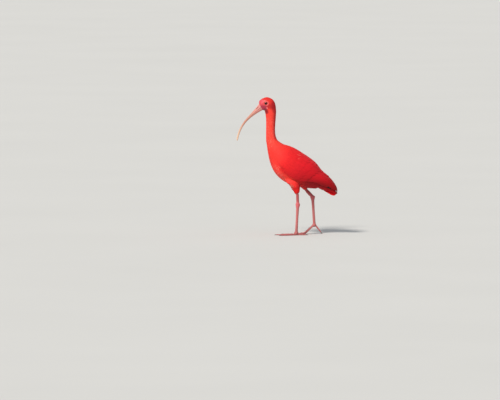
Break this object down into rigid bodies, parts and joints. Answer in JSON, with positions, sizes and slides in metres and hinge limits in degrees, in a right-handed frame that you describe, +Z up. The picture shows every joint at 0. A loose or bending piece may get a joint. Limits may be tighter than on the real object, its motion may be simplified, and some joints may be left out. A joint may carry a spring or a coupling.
{
  "type": "scarlet ibis model",
  "caption": "Life-size still model of a scarlet ibis in mid step, with a long down-curved bill, folded wings and long bare legs.",
  "frame": {"origin": "on the floor, under the middle of the box round the whole bird", "axes": "+Z up, -X towards the bill, -Y towards the bird's left side"},
  "size_m": [0.3541, 0.1383, 0.4827],
  "materials": {
    "body_plumage": "soft body feathers, matt with a faint sheen",
    "flight_plumage": "smooth flight feathers, satin",
    "leg_skin": "scaled bare skin, satin",
    "bill_horn": "fine-grained horn, satin",
    "claw_horn": "dark horn, satin",
    "eye": "wet gloss"
  },
  "bodies": {
    "root": {"neck_upper": "body_plumage", "neck_lower": "body_plumage", "torso": "body_plumage", "head": "body_plumage", "thigh_left": "body_plumage", "thigh_right": "body_plumage", "wing_left": "flight_plumage", "wing_right": "flight_plumage", "tail": "flight_plumage", "shank_left": "leg_skin", "shank_right": "leg_skin", "tarsus_left": "leg_skin", "tarsus_right": "leg_skin", "foot_left": "leg_skin", "foot_right": "leg_skin", "toe_middle_left": "leg_skin", "toe_inner_left": "leg_skin", "toe_outer_left": "leg_skin", "toe_hind_left": "leg_skin", "toe_middle_right": "leg_skin", "toe_inner_right": "leg_skin", "toe_outer_right": "leg_skin", "toe_hind_right": "leg_skin", "bill_upper": "bill_horn", "bill_lower": "bill_horn", "claw_middle_left": "claw_horn", "claw_inner_left": "claw_horn", "claw_outer_left": "claw_horn", "claw_hind_left": "claw_horn", "claw_middle_right": "claw_horn", "claw_inner_right": "claw_horn", "claw_outer_right": "claw_horn", "claw_hind_right": "claw_horn", "eye_left": "eye", "eye_right": "eye"}
  },
  "joints": []
}
